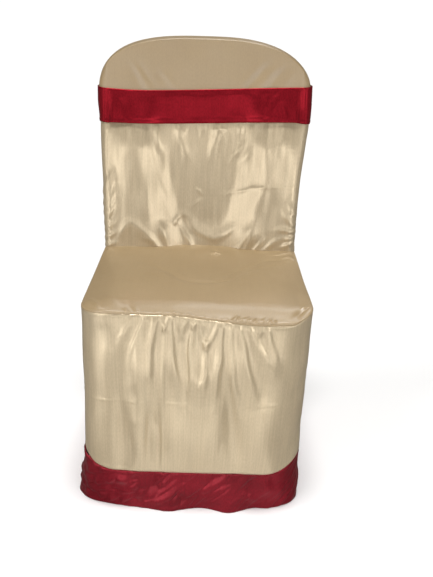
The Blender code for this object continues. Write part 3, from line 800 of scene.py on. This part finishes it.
SATIN = cloth_finish("champagne_satin", Finish(
    colour=(0.600, 0.485, 0.320), shade=(0.560, 0.450, 0.292), roughness=0.315, metallic=0.43, shine=0.50,
    stretch=0.20, grain=0.06, weave=0.22, streak=0.09))
MATT = cloth_finish("matt_fawn", Finish(
    colour=(0.357, 0.254, 0.131), shade=(0.340, 0.239, 0.121), roughness=0.42, metallic=0.0, shine=0.60,
    stretch=0.3, grain=0.05, weave=0.12, streak=0.03))
SASH_RED = cloth_finish("sash_red", Finish(
    colour=(0.316, 0.011, 0.021), shade=(0.244, 0.008, 0.015), roughness=0.31, metallic=0.60, shine=0.02,
    stretch=0.5, grain=0.16, weave=0.24, streak=0.08))
HEM_RED = cloth_finish("hem_red", Finish(
    colour=(0.275, 0.011, 0.022), shade=(0.170, 0.006, 0.012), roughness=0.38, metallic=0.50, shine=0.14,
    stretch=0.4, grain=0.16, weave=0.24, streak=0.08))


def crown_points(across, up, face):
    """The crown cap on a half square: across -1 to 1, up 0 to 1. face is -1 in front, 1 at the rear."""
    reach = np.maximum(np.abs(across), up)
    flat_side = np.where(across == 0.0, 1.0, np.abs(across))
    low = 0.25 * np.pi * up / flat_side
    high = 0.5 * np.pi - 0.25 * np.pi * across / np.where(up == 0.0, 1.0, up)
    angle = np.where(up > np.abs(across), high, np.where(across > 0.0, low, np.pi - low))
    angle = np.where(reach == 0.0, 0.0, angle)
    along, above = np.cos(angle), np.sin(angle)
    square = (np.abs(along) ** CROWN_POWER + np.abs(above) ** CROWN_POWER) ** (-1.0 / CROWN_POWER)
    height = CAP_EDGE + 0.5 * JOIN + CROWN_RISE * reach * square * above
    plan = plan_at(BACK_PLANS, height)
    half_depth = 0.5 * (plan.rear - plan.front)
    edge = half_depth - CROWN_SHARPER * fade(height, CROWN_TURN, CROWN_TURNED)
    bulge = half_depth * roll(plan.half_front * (1.0 - reach) / edge)
    x = plan.shift + plan.half_front * reach * square * along
    x = x - CROWN_SLOPE * fade(height, 0.800, 0.885) * ease(x / 0.16)
    return np.stack([x, 0.5 * (plan.rear + plan.front) + face * bulge, height], axis=-1)


def build_crown_cap():
    """The matt cap over the top of the back, front and rear in one."""
    plan = plan_at(BACK_PLANS, CAP_EDGE)
    columns = crowded(150, 0.5 * (plan.rear - plan.front) / plan.half_front, 18)
    across, up = np.meshgrid(columns, columns[len(columns) // 2:])
    bm = bmesh.new()
    for face in (-1, 1):
        points = crown_points(across, up, face)
        x, z = points[..., 0], points[..., 2]
        height = unevenness(x, z, size=0.05, amount=0.0009, seed=3.0 + face)
        if face < 0:
            height = height + folds_height(CROWN_FOLDS, x, z)
        height = height * (1.0 - np.maximum(np.abs(across), up) ** 6)
        flat = np.stack([x + CROWN_REAR_FLAT * (face > 0), z], axis=-1)
        add_sheet(bm, lifted(points, height, face=-face), flat)
    finish_sheet("crown_cap_cloth", bm, MATT, "crown_cap", "matt_cloth",
                 flat=(0.530, 0.330), held="stretched", rests_on=["top of the chair's back"])


def build_inside_back():
    """The gathered satin panel that the sitter leans on."""
    columns = spread((FRONT_LEFT + 0.06, 10), (FRONT, 215), (FRONT_RIGHT, 10), (RIGHT - 0.06, 0))
    position, z = np.meshgrid(columns, spread((CREASE, 150), (CAP_EDGE - 0.5 * JOIN, 0)))
    points = back_surface(position, z)
    x = points[..., 0]
    sash_low = read(SASH_EDGES, "low", x)
    gathers = unevenness(x, 0.15 * z, size=0.014, amount=0.0009, seed=12.0)
    height = folds_height(INSIDE_BACK_FOLDS, x, z)
    height += unevenness(x, z, size=0.09, amount=0.0014, seed=11.0)
    height += gathers * at_least(0.35, fade(z, 0.58, 0.68))
    height += BACK_ROLL * fade(z, 0.500, 0.440) * fade(np.abs(x), 0.19, 0.13)
    height *= at_least(UNDER_SASH, fade(z, sash_low + 0.005, sash_low - 0.017))
    swell = between(fade(z, sash_low, sash_low - 0.060), fade(z, 0.765, 0.715), SWELL_UNDER)
    swell *= at_least(0.6, fade(z, CREASE, CREASE + 0.05))
    swell *= 1.0 + unevenness(x, 0.5 * z, size=0.040, amount=0.35, seed=14.0)
    height += back_swells(x, z) * swell
    height += unevenness(x, z, size=0.020, amount=0.0001, seed=13.0)
    height *= within(position, columns[0], columns[-1], margin=0.18)
    finish_sheet("inside_back_satin", raised_sheet(points, height), SATIN, "inside_back", "satin",
                 flat=(0.560, 0.350), held="gathered", rests_on=["front of the chair's back"])


def build_outside_back():
    """The rear panel, from the crown cap to the hem band, with a gusset up each side of the back."""
    columns = spread((RIGHT - 0.04, 8), (REAR_RIGHT, 14), (REAR, 130), (TURN, 14), (TURN + LEFT, 8),
                     (TURN + FRONT_LEFT + 0.04, 0))
    rows = spread((-1.0, 80), (0.0, 90), (1.0, 0))
    top = CAP_EDGE - 0.5 * JOIN
    position, level = np.meshgrid(columns, rows)
    seam = SEAT_SEAM + JOIN
    hem = hem_seam(position) + 0.5 * JOIN
    upper = back_surface(position, between(seam, top, level))
    lower = skirt_surface(position, seam + (seam - hem) * level)
    # Beside the back the gusset's foot comes out to the skirt's seam.
    skirt = plan_at(SKIRT_PLANS, SEAT_SEAM)
    side_start = skirt.front + skirt.round_front
    along = np.clip((upper[..., 1] - side_start) / (skirt.rear - skirt.round_rear - side_start), 0.0, 1.0)
    half = between(skirt.half_front, skirt.half_rear, along)
    to_skirt = skirt.shift + np.copysign(half, upper[..., 0]) - upper[..., 0]
    beside = (position < REAR_RIGHT) | (position > TURN + LEFT)
    upper[..., 0] += beside * to_skirt * fade(level, 0.10, 0.0)
    points = np.where((level >= 0.0)[..., None], upper, lower)
    x, z = points[..., 0], points[..., 2]
    height = unevenness(x, z, size=0.07, amount=0.0020, seed=21.0)
    height += unevenness(x, z, size=0.016, amount=0.0003, seed=22.0)
    right_seam, left_seam = REAR_RIGHT + 0.5, TURN + 0.5
    height *= at_least(within(position, right_seam, left_seam, margin=0.4), ease(level / 0.12))
    height *= within(position, columns[0], columns[-1], margin=0.3)
    height += seam_dip(z - hem)
    bm = raised_sheet(points, height)
    flat = laid_flat(points)
    # Below the seat the panel ends at its seams with the skirt.
    right_edge, left_edge = np.interp((right_seam, left_seam), columns, flat[0, :, 0])
    waist = np.interp(0.0, rows, flat[:, 0, 1])
    layer = bm.loops.layers.uv["cut_cloth"]
    skirt_side = []
    for face in bm.faces:
        across, up = np.mean([loop[layer].uv for loop in face.loops], axis=0)
        if up < waist and not right_edge < across < left_edge:
            skirt_side.append(face)
    bmesh.ops.delete(bm, geom=skirt_side, context="FACES")
    finish_sheet("outside_back_satin", bm, SATIN, "outside_back", "satin",
                 flat=(0.570, 0.680), held="hung", rests_on=["rear of the chair's back"], area=0.31)


def seat_edge(position):
    """The seat's outline, along the top of the skirt."""
    return skirt_surface(position, seat_seam(position) + SEAT_JOIN)


def ruche_folds():
    """Close, slanting ruches over the right of the seat's front seam, and short puckers over the rest."""
    rows = []
    for k, start in enumerate(RUCHES):
        length = RUCHE_LENGTH * (1.0 - 0.25 * (k % 3 == 1))
        path = [start, 0.0, start + 0.6 * RUCHE_LEAN, 0.5 * length, start + RUCHE_LEAN, length]
        rows.append((path, 2.8, 2.4, RUCHE_RISE, 0.3, 0.4))
    for x, length in PUCKERS:
        rows.append(([x, 0, x + 2, length], 3.0, 2.4, PUCKER_SHARE * RUCHE_RISE, 0.4, 0.3))
    return folds_of(*rows)


def build_seat_panel():
    """The matt seat, rolled down to its seam at the front and sides."""
    crease = plan_at(BACK_PLANS, CREASE)
    plan = plan_at(SKIRT_PLANS, SEAT_SEAM)
    depth_edge = SEAT_ROLL / crease.front
    columns = crowded(150, SEAT_ROLL / plan.half_front, 22)
    rows = np.concatenate([depth_edge * crowding(24)[:-1], spread((depth_edge, 130), (1.0, 0))])
    across, back = np.meshgrid(columns, rows)
    rear_side = crease.front - crease.hug + SIDE_TUCK
    side_run = (plan.rear - plan.round_rear) - (plan.front + plan.round_front)
    side_stop = ((plan.rear - plan.round_rear) - rear_side) / side_run

    bent = np.abs(across) > 0.75
    front_position = np.where(bent, np.copysign(0.5 + 2.0 * (np.abs(across) - 0.75), across), across / 1.5)
    front = seat_edge(FRONT + 0.5 + front_position)
    left = seat_edge(between(FRONT_LEFT + 0.5, LEFT + side_stop, back))
    right = seat_edge(between(FRONT_RIGHT + 0.5, REAR_RIGHT - side_stop, back))
    rear_y = crease.front - crease.hug * across ** 2 + 0.0010
    end = np.where((across < 0.0)[..., None], left[-1, 0], right[-1, 0])
    rear_x = CENTRE_X + np.abs(end[..., 0] - CENTRE_X) * across
    rear = np.stack([rear_x, rear_y, end[..., 2]], axis=-1)

    # The cloth spans its four edges, and the padding lifts it between them.
    share = (0.5 * (across + 1.0))[..., None]
    deep = back[..., None]
    front_line = between(front[:, :1], front[:, -1:], share)
    rear_line = between(rear[:, :1], rear[:, -1:], share)
    points = between(front, rear, deep) + between(left, right, share) - between(front_line, rear_line, deep)
    to_front = back * crease.front
    to_side = (1.0 - np.abs(across)) * plan.half_front
    padding = (plump(to_front, edge=0.014, spread_out=0.150, share=0.16)
               * plump(to_side, edge=0.020, spread_out=0.110, share=0.25))
    bank = fade(to_front, crease.front - SEAT_BANK_WIDTH, crease.front) ** 2 * ease(to_side / 0.020)
    points[..., 2] += SEAT_RISE * padding * fade(back, 1.0, 0.5) + SEAT_BANK * bank

    run = run_up(np.linalg.norm(np.diff(points, axis=0), axis=2))
    x = points[..., 0]
    height = folds_height(SEAT_FOLDS, x, run) + folds_height(ruche_folds(), x, run)
    height += unevenness(x, run, size=0.08, amount=0.0012, seed=31.0)
    height += unevenness(x, run, size=0.018, amount=0.0002, seed=32.0)
    height += seam_dip(run, depth=0.0018, width=0.0020)
    height *= np.minimum(ease((1.0 - np.abs(across)) / 0.05), ease((1.0 - back) / 0.02))
    finish_sheet("seat_cloth", raised_sheet(points, height), MATT, "seat_panel", "matt_cloth",
                 flat=(0.470, 0.460), held="stretched", rests_on=["seat of the chair"])


def packing_creases(x, z):
    """Thin creases that folding for storage left: one across and four upright, none quite straight."""
    across_line = bump(z - PACK_ACROSS - 0.0015 * np.sin(40.0 * x), PACK_WIDTH)
    uprights = sum(bump(x - at - 0.001 * np.sin(25.0 * z + k), PACK_WIDTH)
                   for k, at in enumerate(PACK_UPRIGHTS))
    return PACK_DEPTH * (across_line + 0.7 * uprights)


def build_skirt():
    """The satin skirt, gathered at the front and plain at the sides."""
    start = REAR_LEFT + 0.5 + SEAM_STEP
    end = REAR_RIGHT + 0.5 - SEAM_STEP
    columns = spread((start, 5), (LEFT, 50), (FRONT_LEFT, 20), (FRONT, 170), (FRONT_RIGHT, 20),
                     (RIGHT, 50), (REAR_RIGHT, 5), (end, 0))
    position, level = np.meshgrid(columns, spread((0.0, 95), (0.8, 35), (1.0, 0)))
    low = hem_seam(position) + 0.5 * JOIN
    high = seat_seam(position)
    points = skirt_surface(position, between(low, high, level))
    x, z = points[..., 0], points[..., 2]
    around = x + points[..., 1]
    front = front_share(points)
    gathered = front * fade(np.abs(x - 0.02), 0.17, 0.13)
    gathers = unevenness(x, 0.10 * z, size=0.011, amount=0.0007, seed=43.0)
    worn = 1.0 + unevenness(x, z, size=0.03, amount=2.0, seed=44.0)
    height = front * folds_height(SKIRT_FOLDS, x, z, 1.0)
    height += gathered * GATHER_SWELL * fade(z, 0.42, 0.22)
    height += gathered * gathers * fade(z, 0.24, 0.36)
    height += front * packing_creases(x, z) * worn
    height += unevenness(around, z, size=0.09, amount=0.0016, seed=41.0)
    height += unevenness(around, z, size=0.020, amount=0.0001, seed=42.0)
    height *= within(position, start, end, margin=0.4)
    height *= at_least(0.25, ease((high - z) / 0.012))
    height *= at_least(0.5, ease((z - low) / 0.010))
    height += seam_dip(z - low, depth=0.0012) + seam_dip(high - z, depth=0.0009, width=0.0018)
    finish_sheet("skirt_satin", raised_sheet(points, height), SATIN, "skirt", "satin",
                 flat=(1.720, 0.350), held="gathered", rests_on=["seat_cloth"])


def build_hem_band():
    """The plain band round the foot of the cover."""
    columns = spread((REAR_LEFT, 14), (LEFT, 50), (FRONT_LEFT, 24), (FRONT, 160), (FRONT_RIGHT, 24),
                     (RIGHT, 50), (REAR_RIGHT, 14), (REAR, 90), (TURN, 0))
    position, level = np.meshgrid(columns, spread((0.0, 42), (1.0, 0)))
    top = hem_seam(position) - 0.5 * JOIN
    points = skirt_surface(position, top * level)
    x, z = points[..., 0], points[..., 2]
    # The creases run on a ring, so that they meet where the band closes.
    around = laid_flat(points)[..., 0]
    turns = 2.0 * np.pi * around / around[0, -1]
    ring_x, ring_y = 0.3 * np.cos(turns), 0.3 * np.sin(turns)
    height = front_share(points) * folds_height(HEM_FOLDS, x, z, 2.0)
    height += unevenness(ring_x, ring_y + z, size=0.030, amount=0.0018, seed=51.0)
    height += crumple(ring_x, ring_y + z, size=0.026, amount=0.0060, seed=52.0)
    height += seam_dip(top - z)
    height *= at_least(0.3, ease(z / 0.012))
    height[:, -1] = height[:, 0]
    finish_sheet("hem_band_satin", raised_sheet(points, height, closed=True), HEM_RED,
                 "hem_band", "hem_cloth", flat=(2.020, 0.125), held="hung", rests_on=["skirt_satin"])


def build_sash():
    """The plain band round the back, over the seam between crown cap and back panels."""
    columns = spread((REAR_LEFT, 12), (LEFT, 1), (FRONT_LEFT, 44), (FRONT, 190), (FRONT_RIGHT, 44),
                     (RIGHT, 1), (REAR_RIGHT, 12), (REAR, 90), (TURN, 0))
    position, level = np.meshgrid(columns, spread((0.0, 34), (1.0, 0)))
    cap_x = walk(plan_at(BACK_PLANS, CAP_EDGE), position)[0]
    low = read(SASH_EDGES, "low", cap_x)
    high = read(SASH_EDGES, "high", cap_x)
    points = back_surface(position, between(low, high, level), SASH_CLEAR)
    x, z = points[..., 0], points[..., 2]
    off_middle = np.abs(x - CENTRE_X)
    on_front = (position > FRONT) & (position < FRONT_RIGHT)
    height = folds_height(SASH_FOLDS, x, z, 3.0)
    height *= 1.0 + SASH_SLACK * fade(off_middle, 0.17, 0.11)
    height += unevenness(x, z, size=0.05, amount=0.0012, seed=61.0)
    height *= on_front * at_least(0.2, within(level, 0.0, 1.0, margin=0.2))
    proud = SASH_PROUD * on_front * fade(off_middle, 0.09, 0.14) * fade(off_middle, 0.2190, 0.2070)
    height = np.maximum(height, -SASH_SINK) + proud * (1.0 - level)
    # The stitched end seams and the roll of the lower edge show on the front and its corners.
    on_turn = (position > FRONT_LEFT) & (position < RIGHT)
    height -= SASH_STITCH * on_turn * sum(bump(x - at, 0.0012) for at in SASH_SEAMS)
    height += SASH_LIP * on_turn * bump(level - 0.05, 0.03)
    finish_sheet("sash_satin", raised_sheet(points, height, closed=True), SASH_RED,
                 "sash", "sash_cloth", flat=(1.060, 0.080), held="stretched",
                 rests_on=["crown_cap_cloth", "inside_back_satin"])


def soft_sun(name, from_side, from_above, width, strength):
    """Even, soft light from far off. The angles and the width of its source are in degrees."""
    lamp = bpy.data.lights.new(name, "SUN")
    lamp.energy = strength
    lamp.angle = math.radians(width)
    sun = placed(name, lamp)
    sun.rotation_euler = (math.radians(90.0 - from_above), 0.0, math.radians(from_side))


def panel(name, place, aim, size, power):
    """A soft rectangular lamp that stands at place and faces aim."""
    lamp = bpy.data.lights.new(name, "AREA")
    lamp.shape = "RECTANGLE"
    lamp.size, lamp.size_y = size
    lamp.energy = power
    stand = placed(name, lamp)
    stand.location = place
    stand.rotation_euler = (Vector(aim) - Vector(place)).to_track_quat("-Z", "Y").to_euler()
    stand.visible_camera = False


def build_studio():
    """A plain pale floor and soft light all round."""
    paint, surface = new_surface("pale_floor")
    adjust(surface, Base_Color=(0.86, 0.86, 0.86, 1.0), Roughness=0.9, Specular_IOR_Level=0.0)
    bm = bmesh.new()
    bmesh.ops.create_circle(bm, cap_ends=True, segments=64, radius=40.0)
    bmesh.ops.translate(bm, verts=bm.verts, vec=(0.0, 0.0, -0.0004))
    floor = mesh_piece("studio_floor", bm, paint)
    floor.visible_glossy = False

    world = bpy.data.worlds.new("studio")
    world.use_nodes = True
    adjust(world.node_tree.nodes["Background"], Color=(1.0, 0.95, 0.87, 1.0), Strength=0.10)
    bpy.context.scene.world = world
    bpy.context.scene.view_settings.view_transform = "Standard"

    soft_sun("overhead", 0.0, 84.0, 20.0, 2.42)
    soft_sun("left_high", -75.0, 48.0, 14.0, 0.50)
    soft_sun("rear_high", 165.0, 50.0, 24.0, 0.55)
    soft_sun("right_high", 75.0, 30.0, 14.0, 0.25)
    soft_sun("front_high", 0.0, 32.0, 18.0, 0.12)
    soft_sun("left_level", -55.0, 12.0, 20.0, 0.25)
    soft_sun("right_level", 55.0, 10.0, 20.0, 0.15)
    panel("front_left", (-1.00, -1.75, 0.84), (0.0, 0.2, 0.65), (1.00, 0.72), 7.0)
    panel("front_right", (1.00, -1.75, 0.84), (0.0, 0.2, 0.65), (1.00, 0.72), 7.5)
    panel("sash_level", (0.0, -1.20, 0.95), (0.0, 0.2, 0.76), (0.46, 0.12), 0.42)
    panel("low_front", (0.05, -1.20, 0.09), (0.0, 0.0, 0.30), (1.00, 0.18), 1.2)
    panel("low_near", (0.03, -0.42, 0.02), (0.03, -0.25, 0.30), (0.44, 0.45), 0.30)
    panel("low_left", (-0.80, -0.80, 0.05), (-0.24, -0.25, 0.30), (0.60, 0.40), 1.0)
    panel("side_left", (-1.10, -1.60, 0.06), (0.0, -0.27, 0.35), (0.50, 0.16), 2.0)
    panel("side_right", (1.10, -1.60, 0.06), (0.0, -0.27, 0.35), (0.50, 0.16), 1.0)


# The camera stands in front of the cover at a standing person's chest height and looks down at it.
CAMERA_PLACE = (0.016, -2.037, 1.210)
CAMERA_DOWN = 21.9      # degrees, as are the next two
CAMERA_TO_RIGHT = 0.6
CAMERA_ROLL = 1.8
FOCAL_HEIGHTS = 1.7331  # focal length as a share of the picture's height


def build_camera():
    """A camera at its place, turned by its three angles."""
    down, to_right, tilt = (math.radians(a) for a in (CAMERA_DOWN, CAMERA_TO_RIGHT, CAMERA_ROLL))
    data = bpy.data.cameras.new("camera")
    data.sensor_fit = "VERTICAL"
    data.sensor_height = 24.0
    data.lens = data.sensor_height * FOCAL_HEIGHTS
    camera = placed("camera", data)
    turn = Matrix.Rotation(-to_right, 4, "Z") @ Matrix.Rotation(0.5 * math.pi - down, 4, "X")
    camera.matrix_world = Matrix.Translation(CAMERA_PLACE) @ turn @ Matrix.Rotation(tilt, 4, "Z")
    bpy.context.scene.camera = camera


build_crown_cap()
build_inside_back()
build_outside_back()
build_seat_panel()
build_skirt()
build_hem_band()
build_sash()
build_studio()
build_camera()
